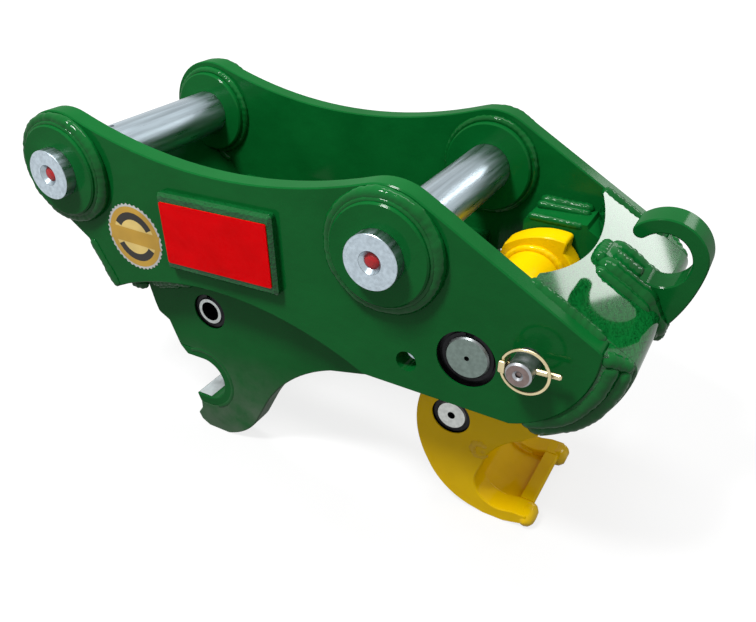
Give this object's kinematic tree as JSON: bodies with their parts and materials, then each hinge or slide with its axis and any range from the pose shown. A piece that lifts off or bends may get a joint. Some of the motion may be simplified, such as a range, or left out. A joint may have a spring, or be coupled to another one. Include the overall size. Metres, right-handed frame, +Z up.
{
  "type": "manual quick coupler",
  "caption": "Manual quick coupler for an excavator: welded frame with stick pins, fixed front jaw and a sprung, pinned rear hook that grip a bucket's two pins.",
  "frame": {"origin": "centre of the front stick pin, on the coupler's middle plane", "axes": "+X from the front stick pin to the rear one and on to the nose, +Y to the far side, along the pins, +Z up; the part rests on z = -0.308"},
  "size_m": [0.6609, 0.3032, 0.366],
  "materials": {
    "green_paint": "gloss enamel",
    "yellow_paint": "gloss enamel",
    "pin_steel": "ground and plated",
    "ring_steel": "blackened spring steel",
    "zinc": "bright zinc",
    "gold_zinc": "yellow zinc",
    "red_paint": "gloss",
    "red_plastic": "satin"
  },
  "bodies": {
    "frame": {"anchor_pin": "pin_steel", "anchor_pin_rings": "ring_steel", "far_doubler": "green_paint", "far_front_boss": "green_paint", "far_front_hook": "green_paint", "far_pivot_block": "green_paint", "far_rear_boss": "green_paint", "far_side_plate": "green_paint", "front_cross_plate": "green_paint", "front_jaw_liner": "green_paint", "lifting_hook": "green_paint", "name_block": "green_paint", "name_plate": "red_paint", "near_doubler": "green_paint", "near_front_boss": "green_paint", "near_front_hook": "green_paint", "near_pivot_block": "green_paint", "near_rear_boss": "green_paint", "near_side_plate": "green_paint", "nose_wrap": "green_paint", "pivot_pin": "pin_steel", "pivot_pin_rings": "ring_steel"},
    "hook": {"near_hook_cheek": "yellow_paint", "far_hook_cheek": "yellow_paint", "hook_hub": "yellow_paint", "rear_mouth_liner": "yellow_paint", "hook_pin": "pin_steel", "hook_pin_rings": "ring_steel"},
    "strut_barrel": {"strut_barrel": "green_paint"},
    "strut_rod": {"strut_rod": "pin_steel"},
    "front_pin": {"front_stick_pin": "pin_steel", "front_pin_plug": "red_plastic"},
    "rear_pin": {"rear_stick_pin": "pin_steel", "rear_pin_plug": "red_plastic"},
    "safety_pin": {"safety_pin": "zinc"},
    "lynch_pin": {"lynch_pin": "gold_zinc"},
    "lynch_ring": {"lynch_ring": "gold_zinc"}
  },
  "joints": [
    {"name": "hook_swing", "type": "hinge", "parent": "frame", "child": "hook", "pos_m": [0.445, 0, -0.081], "axis": [0, 1, 0], "range_deg": [0, 20], "stiffness_Nm_per_rad": 80, "springref_deg": -20.05},
    {"name": "strut_barrel_tilt", "type": "hinge", "parent": "frame", "child": "strut_barrel", "pos_m": [0.14, 0, -0.144], "axis": [0, 1, 0], "range_deg": [-2.4, 0]},
    {"name": "strut_rod_tilt", "type": "hinge", "parent": "hook", "child": "strut_rod", "pos_m": [0.412, 0, -0.197], "axis": [0, 1, 0], "range_deg": [-22.5, 0]},
    {"name": "front_pin_slide", "type": "slide", "parent": "frame", "child": "front_pin", "axis": [0, 1, 0], "range_m": [0, 0.31]},
    {"name": "rear_pin_slide", "type": "slide", "parent": "frame", "child": "rear_pin", "axis": [0, 1, 0], "range_m": [0, 0.31]},
    {"name": "safety_pin_slide", "type": "slide", "parent": "frame", "child": "safety_pin", "axis": [0, 1, 0], "range_m": [0, 0.008]},
    {"name": "lynch_pin_slide", "type": "slide", "parent": "safety_pin", "child": "lynch_pin", "axis": [-0.9986, 0, -0.0523], "range_m": [0, 0.008]},
    {"name": "lynch_ring_flip", "type": "hinge", "parent": "lynch_pin", "child": "lynch_ring", "pos_m": [0.48342, -0.146, -0.0605], "axis": [0, 0, -1], "range_deg": [0, 170], "stiffness_Nm_per_rad": 0.01, "springref_deg": -17.19}
  ],
  "couplings": [
    {"joint": "strut_barrel_tilt", "follows": "hook_swing", "ratio": -0.1135},
    {"joint": "strut_rod_tilt", "follows": "hook_swing", "ratio": -1.1135}
  ]
}
